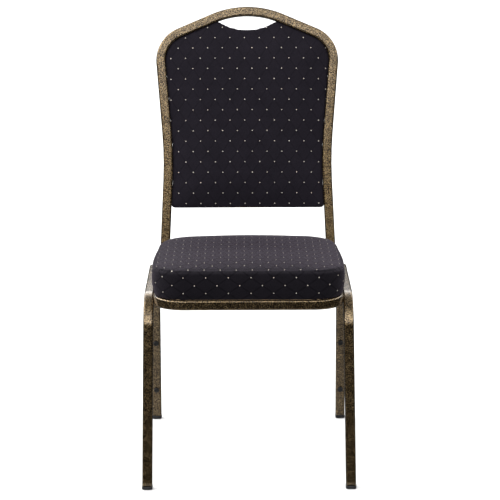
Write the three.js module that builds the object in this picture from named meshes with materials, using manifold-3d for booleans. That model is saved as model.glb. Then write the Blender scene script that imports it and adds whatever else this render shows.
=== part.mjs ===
// A stacking banquet chair: bent square-tube frame, upholstered box seat and crown-shaped back panel.
// Millimetres, +Z up. The chair faces -Y. Depths are measured back from the front of the front feet,
// and the finished group is moved so that its origin is under the middle of the chair, on the floor.

import * as THREE from 'three';
import { mergeVertices } from 'three/addons/utils/BufferGeometryUtils.js';
import Module from 'manifold-3d';

const wasm = await Module();
wasm.setup();

// Driving dimensions. Angles are in degrees.

const GAP = 0.3; // clearance between pieces that touch

const TUBE = { size: 21, wall: 1.5, corner: 4 };
const HALF_TUBE = TUBE.size / 2;

const BEND_STEP = 7.5; // largest turn of one step round a bend in a tube
const OUTLINE_STEP = 18; // the same for the outline of a cushion or panel
const SECTION_STEP = 30; // the same for the corner of a square section
const BORE_STEP = 45; // the same for the corner of a bore or of a stem inside one
const MIN_STEPS = 2;
const ROUND_SIDES = 12; // sides of a screw, bumper or drilled hole

const LEG = {
  railHeight: 391,
  frontLean: 8,
  rearLean: 17,
  frontFootDepth: 10.6,
  rearFootDepth: 550,
  frontBend: 62,
  rearBend: 62,
  offset: 214,
  splay: 0.72,
  toe: 0.1,
};

const GLIDE = { height: 7.5, overhang: 0.6, bevel: 2, stemLength: 18, stemGap: 0.5 };

const BUMPER = {
  heights: [81, 202],
  radius: 5.9,
  edge: 1.4,
  proud: 4,
  stemRadius: 3,
  stemLength: 7,
  holeRadius: 3.5,
};

const BACK = {
  lean: 11.5,
  height: 446.9,
  depth: 439.5,
  // Outside of the bent tube's right half, from its lower end up: half-width, height, bend radius.
  foot: { x: 199, y: -104 },
  kink: { x: 199, y: -45, radius: 300 },
  waist: { x: 188.5, y: 190.7, radius: 842 },
  shoulder: { x: 210.2, y: 457.3, radius: 79 },
  crown: { x: 0, y: 546.4, radius: 210 },
};

const PLUG = { flange: 3, inset: 0.2, stemLength: 14, stemGap: 0.5 };

const SEAT_FRAME = {
  height: 391.8,
  frontDepth: 21,
  rearDepth: 425.6,
  frontHalfWidth: 198.6,
  rearHalfWidth: 198.9,
  cornerRadius: 65,
  centreTubeDepth: 225,
  rearTubeDepth: 410,
};

const SEAT = {
  frontDepth: 18,
  rearDepth: 416,
  frontHalfWidth: 198,
  rearHalfWidth: 193.5,
  frontRadius: 65,
  rearRadius: 58,
  bottom: 402.6,
  boxing: 61,
  crown: 11,
  tuck: 3, // how far the boxing's top and bottom edges pull in from its widest line
  board: 12,
  dust: 0.6,
  dustInset: 6,
};

const PAD = {
  bottom: 73.5,
  sideGap: 1.5,
  bottomRadius: 9,
  scoop: { x: 67, y: 493, radius: 6 },
  dip: { y: 453.5, radius: 115 },
  boardFront: 6,
  boardBack: 12,
  frontEdge: 4,
  crown: 20,
  rearRim: 15.1,
  rearEdge: 21,
  rearCrown: 3.5,
};

const CROWN_SHARES = [1, 0.94, 0.82, 0.64, 0.38]; // where a crowned face has steps, from edge to middle
const CROWN_POWER = 3;

const FABRIC = 1.2; // thickness of the cover cloth
const CENTRE_HEIGHT = 270; // the point on the back panel that its crown rises to

const HEAD_RIM = 1 / 3; // share of a screw head's height that is upright
const HEAD_FLAT = 0.6; // share of its radius that is flat on top

const SEAT_BULGE = [0.35, 0.7]; // the widest band of the boxing, as shares of its height

const SEAT_TAB = { width: 28, length: 30, thickness: 3, depths: [115, 350], hole: 3.2, holeInset: 17 };
const BACK_TAB = {
  width: 26,
  length: 24,
  thickness: 2.5,
  heights: [110, 330],
  hole: 2.8,
  holeInset: 15,
  clearance: 1.5, // leaves room for the slope of the tube's inner face
};

const SEAT_SCREW = { head: 5, headHeight: 3, shank: 2.5, length: 14.6 };
const BACK_SCREW = { head: 4.2, headHeight: 2.2, shank: 2.1, length: 7.5 };
const SCREW_CLEARANCE = 0.3;

const COLOURS = {
  frame: { color: 0x5f4d3a, roughness: 0.42, metalness: 0.6 },
  steel: { color: 0x8d8f92, roughness: 0.4, metalness: 0.9 },
  screw: { color: 0xb4b6b8, roughness: 0.35, metalness: 1 },
  rubber: { color: 0x141415, roughness: 0.7, metalness: 0 },
  plastic: { color: 0x18181a, roughness: 0.5, metalness: 0 },
  fabric: { color: 0x26232b, roughness: 0.95, metalness: 0 },
  foam: { color: 0xd9cf9c, roughness: 1, metalness: 0 },
  plywood: { color: 0xb98f5d, roughness: 0.75, metalness: 0 },
  felt: { color: 0x1d1d1f, roughness: 1, metalness: 0 },
};

// Outlines

const SIDES = [{ side: -1, sideName: 'left' }, { side: 1, sideName: 'right' }];

const radians = THREE.MathUtils.degToRad;

/** Points of the arc that rounds one corner of an outline, or the corner itself if it is sharp. */
function roundCorner(before, corner, after, radius, largestStep) {
  if (!radius) {
    return [corner.clone()];
  }
  const toBefore = before.clone().sub(corner).normalize();
  const toAfter = after.clone().sub(corner).normalize();
  const halfAngle = Math.acos(toBefore.dot(toAfter)) / 2;
  const start = corner.clone().addScaledVector(toBefore, radius / Math.tan(halfAngle));
  const bisector = toBefore.clone().add(toAfter).normalize();
  const centre = corner.clone().addScaledVector(bisector, radius / Math.sin(halfAngle));
  const turn = Math.PI - 2 * halfAngle;
  const sense = -Math.sign(toBefore.cross(toAfter));
  const steps = Math.max(MIN_STEPS, Math.ceil(turn / radians(largestStep)));
  const points = [];
  for (let step = 0; step <= steps; step += 1) {
    points.push(start.clone().rotateAround(centre, (sense * turn * step) / steps));
  }
  return points;
}

/** A line through corners {x, y, radius}, with each corner that has a radius rounded by an arc. */
function roundedLine(corners, closed = false, largestStep = BEND_STEP) {
  const count = corners.length;
  const at = (index) => {
    const corner = corners[(index + count) % count];
    return new THREE.Vector2(corner.x, corner.y);
  };
  const points = [];
  corners.forEach((corner, index) => {
    const isEnd = !closed && (index === 0 || index === count - 1);
    const radius = isEnd ? 0 : corner.radius;
    points.push(...roundCorner(at(index - 1), at(index), at(index + 1), radius, largestStep));
  });
  return points;
}

/** Adds the mirror image of a right-hand half that ends on, or just before, the centre line. */
function withMirror(half) {
  const left = half.filter((corner) => corner.x > 0).reverse();
  return [...half, ...left.map((corner) => ({ ...corner, x: -corner.x }))];
}

/** Where the lines through two pairs of points cross. */
function crossing(a, b, c, d) {
  const first = b.clone().sub(a);
  const second = d.clone().sub(c);
  const along = c.clone().sub(a).cross(second) / first.cross(second);
  return a.clone().addScaledVector(first, along);
}

/** Moves an open line of corners sideways to its left, changing each bend radius to suit. */
function offsetLine(corners, distance) {
  const points = corners.map((corner) => new THREE.Vector2(corner.x, corner.y));
  const sides = points.slice(1).map((point, index) => {
    const start = points[index];
    const direction = point.clone().sub(start).normalize();
    const shift = new THREE.Vector2(-direction.y, direction.x).multiplyScalar(distance);
    return { start: start.clone().add(shift), end: point.clone().add(shift), direction };
  });
  return corners.map((corner, index) => {
    const before = sides[index - 1];
    const after = sides[index];
    if (!before || !after) {
      const place = before ? before.end : after.start;
      return { x: place.x, y: place.y };
    }
    const place = crossing(before.start, before.end, after.start, after.end);
    const turnsLeft = before.direction.cross(after.direction) > 0;
    const radius = corner.radius + (turnsLeft ? -distance : distance);
    return { x: place.x, y: place.y, radius };
  });
}

/** A square with rounded corners, centred on the origin. */
function roundedSquare(size, radius, largestStep = SECTION_STEP) {
  const half = size / 2;
  const corners = [[-half, -half], [half, -half], [half, half], [-half, half]];
  const points = corners.map(([x, y]) => ({ x, y, radius }));
  return roundedLine(points, true, largestStep);
}

// Geometry

/** A line of stations for a sweep: each station is one of the points it was given. */
class StationPath extends THREE.Curve {
  constructor(points) {
    super();
    this.points = points;
  }

  stationAt(u) {
    return Math.round(u * (this.points.length - 1));
  }

  getPointAt(u, target = new THREE.Vector3()) {
    return target.copy(this.points[this.stationAt(u)]);
  }

  getTangentAt(u, target = new THREE.Vector3()) {
    const last = this.points.length - 1;
    const index = this.stationAt(u);
    target.set(0, 0, 0);
    if (index > 0) {
      target.add(this.points[index].clone().sub(this.points[index - 1]).normalize());
    }
    if (index < last) {
      target.add(this.points[index + 1].clone().sub(this.points[index]).normalize());
    }
    return target.normalize();
  }
}

/** Outline of a square bore, or of a stem that is smaller than the bore by a gap on each side. */
function boreOutline(gap = 0) {
  const size = TUBE.size - 2 * TUBE.wall - 2 * gap;
  return roundedSquare(size, TUBE.corner - TUBE.wall, BORE_STEP);
}

/** Square tube with a hollow bore, swept along the given points. */
function sweptTube(points) {
  const section = new THREE.Shape(roundedSquare(TUBE.size, TUBE.corner));
  section.holes.push(new THREE.Path(boreOutline()));
  const extrudePath = new StationPath(points);
  return new THREE.ExtrudeGeometry(section, { steps: points.length - 1, extrudePath });
}

/** A closed solid whose level cuts are scaled copies of one outline, from {scale, height} steps. */
function moulded(outline, centre, profile) {
  const rings = profile.slice(1, -1);
  const positions = [];
  const addPoint = (point, scale, height) => {
    positions.push(centre.x + scale * (point.x - centre.x));
    positions.push(centre.y + scale * (point.y - centre.y));
    positions.push(height);
  };
  rings.forEach(({ scale, height }) => outline.forEach((point) => addPoint(point, scale, height)));
  addPoint(centre, 1, profile[0].height);
  addPoint(centre, 1, profile[profile.length - 1].height);

  const count = outline.length;
  const firstTip = rings.length * count;
  const lastTip = firstTip + 1;
  const index = [];
  for (let side = 0; side < count; side += 1) {
    const next = (side + 1) % count;
    index.push(firstTip, next, side);
    for (let ring = 0; ring < rings.length - 1; ring += 1) {
      const low = ring * count;
      const high = low + count;
      index.push(low + side, low + next, high + next);
      index.push(low + side, high + next, high + side);
    }
    const top = (rings.length - 1) * count;
    index.push(lastTip, top + side, top + next);
  }
  const geometry = new THREE.BufferGeometry();
  geometry.setAttribute('position', new THREE.Float32BufferAttribute(positions, 3));
  geometry.setIndex(index);
  geometry.computeVertexNormals();
  return geometry;
}

/** A solid of revolution about Z from [radius, height] pairs that start and end on the axis. */
function turned(profile) {
  const points = profile.map(([radius, height]) => new THREE.Vector2(radius, height));
  return new THREE.LatheGeometry(points, ROUND_SIDES).rotateX(Math.PI / 2);
}

/** A bar of constant section that rises along Z from a given height. */
function bar(outline, bottom, length) {
  const shape = new THREE.Shape(outline);
  return new THREE.ExtrudeGeometry(shape, { depth: length, bevelEnabled: false }).translate(0, 0, bottom);
}

/** A drill of the given radius that rises along Z from a given height. */
function drill(radius, bottom, length) {
  return turned([[0, bottom], [radius, bottom], [radius, bottom + length], [0, bottom + length]]);
}

// Booleans

function toSolid(geometry) {
  const bare = geometry.clone();
  bare.deleteAttribute('normal');
  bare.deleteAttribute('uv');
  const merged = mergeVertices(bare);
  const vertProperties = Float32Array.from(merged.attributes.position.array);
  const triVerts = Uint32Array.from(merged.index.array);
  return new wasm.Manifold(new wasm.Mesh({ numProp: 3, vertProperties, triVerts }));
}

function toGeometry(solid) {
  const mesh = solid.getMesh();
  const geometry = new THREE.BufferGeometry();
  geometry.setAttribute('position', new THREE.BufferAttribute(mesh.vertProperties, 3));
  geometry.setIndex(new THREE.BufferAttribute(mesh.triVerts, 1));
  geometry.computeVertexNormals();
  return geometry;
}

function cut(geometry, tools) {
  const rest = tools.reduce((solid, tool) => solid.subtract(toSolid(tool)), toSolid(geometry));
  return toGeometry(rest);
}

function join(first, second) {
  return toGeometry(toSolid(first).add(toSolid(second)));
}

/** A named mesh with a material of its own. */
function piece(name, geometry, colour) {
  const mesh = new THREE.Mesh(geometry, new THREE.MeshStandardMaterial(colour));
  mesh.name = name;
  return mesh;
}

// Leg frames

const tanOf = (angle) => Math.tan(radians(angle));
const frontTop = LEG.frontFootDepth + LEG.railHeight * tanOf(LEG.frontLean);
const rearTop = LEG.rearFootDepth - LEG.railHeight * tanOf(LEG.rearLean);

/** Depth of the rear leg's centreline at a height. */
function rearLegDepth(height) {
  return rearTop + (LEG.railHeight - height) * tanOf(LEG.rearLean);
}

/** Turns a lathed solid's axis from +Z to the direction that the rear leg's front face looks in. */
function faceOutOfRearLeg(object, height) {
  object.rotation.x = radians(90 + LEG.rearLean);
  object.position.set(0, rearLegDepth(height), height);
  object.updateMatrix();
  return object;
}

function legFrameGeometry() {
  const below = GLIDE.height * 2;
  const corners = [
    { x: LEG.frontFootDepth - below * tanOf(LEG.frontLean), y: -below },
    { x: frontTop, y: LEG.railHeight, radius: LEG.frontBend },
    { x: rearTop, y: LEG.railHeight, radius: LEG.rearBend },
    { x: LEG.rearFootDepth + below * tanOf(LEG.rearLean), y: -below },
  ];
  const points = roundedLine(corners).map(({ x, y }) => new THREE.Vector3(0, x, y));
  const floorCut = new THREE.BoxGeometry(4 * TUBE.size, 2 * LEG.rearFootDepth, 4 * below);
  floorCut.translate(0, LEG.rearFootDepth / 2, GLIDE.height + 2 * GAP - 2 * below);
  const holes = BUMPER.heights.map((height) => {
    const drilled = faceOutOfRearLeg(new THREE.Object3D(), height);
    return drill(BUMPER.holeRadius, HALF_TUBE / 2, TUBE.size).applyMatrix4(drilled.matrix);
  });
  return cut(sweptTube(points), [floorCut, ...holes]);
}

/** Push-in rubber bumper: a domed head outside the tube wall and a stem inside it, along +Z. */
function bumperGeometry() {
  const seat = HALF_TUBE + GAP;
  const top = seat + BUMPER.proud;
  const shoulder = top - BUMPER.edge;
  return turned([
    [0, seat - BUMPER.stemLength],
    [BUMPER.stemRadius, seat - BUMPER.stemLength],
    [BUMPER.stemRadius, seat],
    [BUMPER.radius, seat],
    [BUMPER.radius, shoulder],
    [BUMPER.radius - BUMPER.edge, top],
    [0, top],
  ]);
}

/** Foot glide: a bevelled block with a flat sole, and a stem that leans with the leg. */
function glideGeometry(lean) {
  const footprint = roundedSquare(TUBE.size + 2 * GLIDE.overhang, TUBE.corner);
  const flatShare = 1 - (2 * GLIDE.bevel) / (TUBE.size + 2 * GLIDE.overhang);
  const block = moulded(footprint, new THREE.Vector2(), [
    { scale: 0, height: 0 },
    { scale: flatShare, height: 0 },
    { scale: 1, height: GLIDE.bevel },
    { scale: 1, height: GLIDE.height },
    { scale: 0, height: GLIDE.height },
  ]);
  const root = GLIDE.height / 2;
  const stem = bar(boreOutline(GLIDE.stemGap), -root, root + GLIDE.stemLength);
  stem.rotateX(-lean).translate(0, 0, GLIDE.height);
  return join(block, stem);
}

function legSide(side, name) {
  const group = new THREE.Group();
  group.position.x = side * LEG.offset;
  group.rotation.set(0, -side * radians(LEG.splay), -side * radians(LEG.toe));
  group.add(piece(`leg_frame_${name}`, legFrameGeometry(), COLOURS.frame));
  BUMPER.heights.forEach((height, index) => {
    const bumper = piece(`stack_bumper_${name}_${index + 1}`, bumperGeometry(), COLOURS.rubber);
    group.add(faceOutOfRearLeg(bumper, height));
  });
  return group;
}

/** The glides stand square on the floor, under the ends of the splayed legs. */
function footGlides(side, name) {
  const frontDepth = LEG.frontFootDepth + GLIDE.height * tanOf(LEG.frontLean);
  const feet = [
    { end: 'front', depth: frontDepth, lean: LEG.frontLean },
    { end: 'rear', depth: rearLegDepth(GLIDE.height), lean: -LEG.rearLean },
  ];
  return feet.map(({ end, depth, lean }) => {
    const glide = piece(`foot_glide_${end}_${name}`, glideGeometry(radians(lean)), COLOURS.plastic);
    glide.position.set(side * (LEG.offset + depth * Math.sin(radians(LEG.toe))), depth, 0);
    return glide;
  });
}

// Back frame and back panel, built upright in the XZ plane with the tube's front face at Y = 0

const backHalf = [BACK.foot, BACK.kink, BACK.waist, BACK.shoulder, BACK.crown];

/** The back tube's right half, moved in from its outer face by a distance, as corners. */
function backLine(inset) {
  return offsetLine(withMirror(backHalf), inset);
}

/** Inner half-width of the back frame where its side is straight. */
function innerHalfWidth(height) {
  const corners = backLine(TUBE.size);
  const upper = corners.findIndex((corner) => corner.y > height);
  const from = corners[upper - 1];
  const to = corners[upper];
  return from.x + ((to.x - from.x) * (height - from.y)) / (to.y - from.y);
}

function backFrameGeometry() {
  const centreLine = roundedLine(backLine(HALF_TUBE));
  return sweptTube(centreLine.map(({ x, y }) => new THREE.Vector3(x, HALF_TUBE, y)));
}

function plugGeometry() {
  const flange = bar(roundedSquare(TUBE.size - 2 * PLUG.inset, TUBE.corner), -PLUG.flange, PLUG.flange);
  const stem = bar(boreOutline(PLUG.stemGap), -PLUG.flange / 2, PLUG.stemLength);
  return join(flange, stem);
}

/** Outline of the back panel: it fills the frame, with a straight foot and a scoop at the top. */
function padOutline() {
  const line = backLine(TUBE.size + PAD.sideGap);
  const waist = line[2];
  const shoulder = line[3];
  const half = [
    { x: innerHalfWidth(PAD.bottom) - PAD.sideGap, y: PAD.bottom, radius: PAD.bottomRadius },
    waist,
    shoulder,
    PAD.scoop,
    { x: 0, y: PAD.dip.y, radius: PAD.dip.radius },
  ];
  return roundedLine(withMirror(half), true, OUTLINE_STEP);
}

const padCentre = new THREE.Vector2(0, CENTRE_HEIGHT);

/** Scale that moves an outline of this half-width in by a distance. */
function shrink(distance, halfWidth) {
  return 1 - distance / halfWidth;
}

/** Steps of a crowned face: steep at its edge and nearly level in the middle. */
function crownSteps(edgeHeight, crown, scale) {
  return CROWN_SHARES.map((share) => {
    const rise = crown * (1 - share ** CROWN_POWER);
    return { scale: share * scale, height: edgeHeight + rise };
  });
}

/** Outside of the front cover, as heights forward of the frame's front face. */
function frontSkin(inset) {
  const scale = shrink(inset, innerHalfWidth(CENTRE_HEIGHT));
  const edge = -PAD.frontEdge - inset;
  const steps = crownSteps(edge, PAD.crown, scale);
  return { scale, steps, tip: edge + PAD.crown };
}

/** Turns a solid that was moulded along +Z so that its top faces the front. */
function faceForward(geometry) {
  return geometry.rotateX(Math.PI / 2);
}

function frontCoverGeometry() {
  const outside = frontSkin(0);
  const inside = frontSkin(FABRIC);
  return faceForward(moulded(padOutline(), padCentre, [
    { scale: 0, height: inside.tip },
    ...inside.steps.slice().reverse(),
    { scale: inside.scale, height: -PAD.boardBack },
    { scale: 1, height: -PAD.boardBack },
    ...outside.steps,
    { scale: 0, height: outside.tip },
  ]));
}

function frontFoamGeometry() {
  const skin = frontSkin(FABRIC + GAP);
  const back = -PAD.boardFront + GAP;
  return faceForward(moulded(padOutline(), padCentre, [
    { scale: 0, height: back },
    { scale: skin.scale, height: back },
    ...skin.steps,
    { scale: 0, height: skin.tip },
  ]));
}

/** Steps of the rear face from its middle out to its edge, facing backwards. */
function rearSkin(inset) {
  const scale = shrink(inset, innerHalfWidth(CENTRE_HEIGHT));
  const edge = PAD.rearEdge - inset;
  const steps = crownSteps(edge, PAD.rearCrown, scale);
  const facing = steps.map((step) => ({ scale: step.scale, height: -step.height }));
  return { scale, steps: facing.reverse(), tip: -edge - PAD.rearCrown };
}

function rearCoverGeometry() {
  const outside = rearSkin(0);
  const inside = rearSkin(FABRIC);
  return faceForward(moulded(padOutline(), padCentre, [
    { scale: 0, height: outside.tip },
    ...outside.steps,
    { scale: 1, height: -PAD.rearRim },
    { scale: inside.scale, height: -PAD.rearRim },
    ...inside.steps.slice().reverse(),
    { scale: 0, height: inside.tip },
  ]));
}

function rearFoamGeometry() {
  const skin = rearSkin(FABRIC + GAP);
  const front = -PAD.rearRim - BACK_SCREW.headHeight - GAP;
  return faceForward(moulded(padOutline(), padCentre, [
    { scale: 0, height: skin.tip },
    ...skin.steps,
    { scale: skin.scale, height: front },
    { scale: 0, height: front },
  ]));
}

/** Places of the four tabs in the back frame: side, height, and the tab's outer end. */
function backTabPlaces() {
  return SIDES.flatMap(({ side, sideName }) => BACK_TAB.heights.map((height, row) => {
    const outer = innerHalfWidth(height) - BACK_TAB.clearance;
    const name = `${sideName}_${row + 1}`;
    const centreX = side * (outer - BACK_TAB.width / 2);
    const holeX = side * (outer - BACK_TAB.holeInset);
    return { name, height, centreX, holeX };
  }));
}

/** A hole or screw axis that runs backwards, at a place on the back panel. */
function alongDepth(geometry, x, depth, height) {
  return geometry.rotateX(-Math.PI / 2).translate(x, depth, height);
}

function backBoardGeometry() {
  const scale = shrink(FABRIC + GAP, innerHalfWidth(CENTRE_HEIGHT));
  const board = faceForward(moulded(padOutline(), padCentre, [
    { scale: 0, height: -PAD.boardBack },
    { scale, height: -PAD.boardBack },
    { scale, height: -PAD.boardFront },
    { scale: 0, height: -PAD.boardFront },
  ]));
  const radius = BACK_SCREW.shank + SCREW_CLEARANCE;
  const thickness = PAD.boardBack - PAD.boardFront;
  const holes = backTabPlaces().map(({ holeX, height }) => (
    alongDepth(drill(radius, 0, 2 * thickness), holeX, PAD.boardFront - thickness / 2, height)
  ));
  return cut(board, holes);
}

function backTabGeometry(place) {
  const middle = PAD.boardBack + GAP + BACK_TAB.thickness / 2;
  const plate = new THREE.BoxGeometry(BACK_TAB.width, BACK_TAB.thickness, BACK_TAB.length);
  plate.translate(place.centreX, middle, place.height);
  const hole = drill(BACK_TAB.hole, 0, TUBE.size);
  return cut(plate, [alongDepth(hole, place.holeX, middle - HALF_TUBE, place.height)]);
}

/** Round-headed screw along +Z: the head's underside is at the origin and the shank hangs below it. */
function screwGeometry({ head, headHeight, shank, length }) {
  return turned([
    [0, -length],
    [shank, -length + shank],
    [shank, 0],
    [head, 0],
    [head, headHeight * HEAD_RIM],
    [head * HEAD_FLAT, headHeight],
    [0, headHeight],
  ]);
}

function backPanelPieces() {
  const pieces = [
    piece('back_board', backBoardGeometry(), COLOURS.plywood),
    piece('back_foam_front', frontFoamGeometry(), COLOURS.foam),
    piece('back_foam_rear', rearFoamGeometry(), COLOURS.foam),
    piece('back_cover_front', frontCoverGeometry(), COLOURS.fabric),
    piece('back_cover_rear', rearCoverGeometry(), COLOURS.fabric),
  ];
  const headDepth = PAD.boardBack + 2 * GAP + BACK_TAB.thickness;
  backTabPlaces().forEach((place) => {
    pieces.push(piece(`back_tab_${place.name}`, backTabGeometry(place), COLOURS.steel));
    const screw = alongDepth(screwGeometry(BACK_SCREW), place.holeX, headDepth, place.height);
    pieces.push(piece(`back_screw_${place.name}`, screw, COLOURS.screw));
  });
  return pieces;
}

function backAssembly() {
  const group = new THREE.Group();
  group.position.set(0, BACK.depth, BACK.height);
  group.rotation.x = -radians(BACK.lean);
  group.add(piece('back_frame', backFrameGeometry(), COLOURS.frame));
  group.add(...backPanelPieces());
  SIDES.forEach(({ side, sideName }) => {
    const plug = piece(`upright_plug_${sideName}`, plugGeometry(), COLOURS.plastic);
    plug.position.set(side * (BACK.foot.x - HALF_TUBE), HALF_TUBE, BACK.foot.y - GAP);
    group.add(plug);
  });
  return group;
}

// Seat frame

function seatFrameGeometry() {
  const front = SEAT_FRAME.frontDepth + HALF_TUBE;
  const frontX = SEAT_FRAME.frontHalfWidth - HALF_TUBE;
  const rearX = SEAT_FRAME.rearHalfWidth - HALF_TUBE;
  const radius = SEAT_FRAME.cornerRadius - HALF_TUBE;
  const corners = [
    { x: -rearX, y: SEAT_FRAME.rearDepth },
    { x: -frontX, y: front, radius },
    { x: frontX, y: front, radius },
    { x: rearX, y: SEAT_FRAME.rearDepth },
  ];
  const points = roundedLine(corners).map(({ x, y }) => new THREE.Vector3(x, y, SEAT_FRAME.height));
  return sweptTube(points);
}

/** Inner half-width of the seat frame at a depth behind its front corners. */
function seatFrameInside(depth) {
  const run = (depth - SEAT_FRAME.frontDepth) / (SEAT_FRAME.rearDepth - SEAT_FRAME.frontDepth);
  return THREE.MathUtils.lerp(SEAT_FRAME.frontHalfWidth, SEAT_FRAME.rearHalfWidth, run) - TUBE.size;
}

function crossTube(name, depth) {
  const reach = seatFrameInside(depth) - GAP;
  const ends = [-reach, reach].map((x) => new THREE.Vector3(x, depth, SEAT_FRAME.height));
  return piece(name, sweptTube(ends), COLOURS.frame);
}

const seatFrameTop = SEAT_FRAME.height + HALF_TUBE;

function seatTabPlaces() {
  return SIDES.flatMap(({ side, sideName }) => SEAT_TAB.depths.map((depth, row) => {
    const outer = seatFrameInside(depth) - GAP;
    const name = `${sideName}_${row + 1}`;
    const centreX = side * (outer - SEAT_TAB.width / 2);
    const holeX = side * (outer - SEAT_TAB.holeInset);
    return { name, depth, centreX, holeX };
  }));
}

const seatTabBottom = seatFrameTop - GAP - SEAT_TAB.thickness;

function seatTabGeometry(place) {
  const plate = new THREE.BoxGeometry(SEAT_TAB.width, SEAT_TAB.length, SEAT_TAB.thickness);
  plate.translate(place.centreX, place.depth, seatTabBottom + SEAT_TAB.thickness / 2);
  const hole = drill(SEAT_TAB.hole, seatTabBottom - TUBE.size, 2 * TUBE.size);
  return cut(plate, [hole.translate(place.holeX, place.depth, 0)]);
}

function seatFramePieces() {
  const pieces = [
    piece('seat_frame', seatFrameGeometry(), COLOURS.frame),
    crossTube('centre_cross_tube', SEAT_FRAME.centreTubeDepth),
    crossTube('rear_cross_tube', SEAT_FRAME.rearTubeDepth),
  ];
  seatTabPlaces().forEach((place) => {
    pieces.push(piece(`seat_tab_${place.name}`, seatTabGeometry(place), COLOURS.frame));
    const screw = screwGeometry(SEAT_SCREW).rotateX(Math.PI);
    screw.translate(place.holeX, place.depth, seatTabBottom - GAP);
    pieces.push(piece(`seat_screw_${place.name}`, screw, COLOURS.screw));
  });
  return pieces;
}

// Seat cushion

function seatOutline() {
  const corners = [
    { x: -SEAT.frontHalfWidth, y: SEAT.frontDepth, radius: SEAT.frontRadius },
    { x: SEAT.frontHalfWidth, y: SEAT.frontDepth, radius: SEAT.frontRadius },
    { x: SEAT.rearHalfWidth, y: SEAT.rearDepth, radius: SEAT.rearRadius },
    { x: -SEAT.rearHalfWidth, y: SEAT.rearDepth, radius: SEAT.rearRadius },
  ];
  return roundedLine(corners, true, OUTLINE_STEP);
}

const seatCentre = new THREE.Vector2(0, (SEAT.frontDepth + SEAT.rearDepth) / 2);

/** Boxing and crowned top, from the bottom edge up. The boxing bulges a little between its seams. */
function seatSkin(inset, bottom) {
  const wide = shrink(inset, SEAT.frontHalfWidth);
  const tucked = shrink(inset + SEAT.tuck, SEAT.frontHalfWidth);
  const seam = SEAT.bottom + SEAT.boxing - inset;
  const boxing = [
    { scale: tucked, height: bottom },
    ...SEAT_BULGE.map((share) => ({ scale: wide, height: SEAT.bottom + SEAT.boxing * share })),
  ];
  return { steps: [...boxing, ...crownSteps(seam, SEAT.crown, tucked)], tip: seam + SEAT.crown };
}

function seatCoverGeometry() {
  const outside = seatSkin(0, SEAT.bottom);
  const inside = seatSkin(FABRIC, SEAT.bottom);
  return moulded(seatOutline(), seatCentre, [
    { scale: 0, height: inside.tip },
    ...inside.steps.slice().reverse(),
    ...outside.steps,
    { scale: 0, height: outside.tip },
  ]);
}

const boardBottom = SEAT.bottom + SEAT.dust + GAP;
const boardTop = boardBottom + SEAT.board;

function seatFoamGeometry() {
  const bottom = boardTop + GAP;
  const skin = seatSkin(FABRIC + GAP, bottom);
  return moulded(seatOutline(), seatCentre, [
    { scale: 0, height: bottom },
    ...skin.steps,
    { scale: 0, height: skin.tip },
  ]);
}

/** A flat sheet under the cushion, with a hole for each seat screw. */
function seatSheet(inset, bottom, thickness, holeRadius) {
  const scale = shrink(inset, SEAT.frontHalfWidth);
  const sheet = moulded(seatOutline(), seatCentre, [
    { scale: 0, height: bottom },
    { scale, height: bottom },
    { scale, height: bottom + thickness },
    { scale: 0, height: bottom + thickness },
  ]);
  const holes = seatTabPlaces().map(({ holeX, depth }) => (
    drill(holeRadius, bottom - thickness, 3 * thickness).translate(holeX, depth, 0)
  ));
  return cut(sheet, holes);
}

function seatPieces() {
  const boardInset = SEAT.tuck + FABRIC + GAP;
  const hole = SEAT_SCREW.shank + SCREW_CLEARANCE;
  const board = seatSheet(boardInset, boardBottom, SEAT.board, hole);
  const dust = seatSheet(SEAT.dustInset, SEAT.bottom, SEAT.dust, hole);
  return [
    piece('seat_cover', seatCoverGeometry(), COLOURS.fabric),
    piece('seat_foam', seatFoamGeometry(), COLOURS.foam),
    piece('seat_board', board, COLOURS.plywood),
    piece('seat_dust_cover', dust, COLOURS.felt),
  ];
}

// The chair

function buildChair() {
  const chair = new THREE.Group();
  SIDES.forEach(({ side, sideName }) => {
    chair.add(legSide(side, sideName), ...footGlides(side, sideName));
  });
  chair.add(backAssembly());
  chair.add(...seatFramePieces());
  chair.add(...seatPieces());
  chair.updateMatrixWorld(true);
  const box = new THREE.Box3().setFromObject(chair, true);
  const middle = box.getCenter(new THREE.Vector3());
  chair.position.set(-middle.x, -middle.y, -box.min.z);
  return chair;
}

export default buildChair();
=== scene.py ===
"""A stacking banquet chair: upholstery, finishes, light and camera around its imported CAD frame."""

import math

import bmesh
import bpy
import numpy as np
from mathutils import Matrix, Vector


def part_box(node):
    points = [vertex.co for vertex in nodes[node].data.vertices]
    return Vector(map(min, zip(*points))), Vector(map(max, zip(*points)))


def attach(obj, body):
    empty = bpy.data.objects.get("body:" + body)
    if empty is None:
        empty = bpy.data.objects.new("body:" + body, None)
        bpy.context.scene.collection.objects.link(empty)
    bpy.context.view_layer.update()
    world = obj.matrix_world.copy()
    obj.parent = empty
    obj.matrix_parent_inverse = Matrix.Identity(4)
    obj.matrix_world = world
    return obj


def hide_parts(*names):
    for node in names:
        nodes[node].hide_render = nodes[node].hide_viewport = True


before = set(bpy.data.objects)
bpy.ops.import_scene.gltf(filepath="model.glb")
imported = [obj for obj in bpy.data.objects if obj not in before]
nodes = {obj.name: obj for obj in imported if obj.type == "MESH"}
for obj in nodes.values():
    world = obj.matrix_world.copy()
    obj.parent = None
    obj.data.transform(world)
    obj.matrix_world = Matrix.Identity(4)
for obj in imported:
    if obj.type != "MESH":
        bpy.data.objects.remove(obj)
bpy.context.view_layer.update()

MM = 0.001
TINY = 1e-9  # stands in for zero in a division

# Camera, fitted to the chair's own perspective
LENS = 151.2
SENSOR = 36.0
CAMERA_DISTANCE = 4.4966
CAMERA_HEIGHT = 1.371
CAMERA_PITCH = math.radians(11.5)
CAMERA_SWING = math.radians(-0.094)
CAMERA_TURN = math.radians(-0.0534)
CAMERA_ROLL = math.radians(-0.209)

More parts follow.
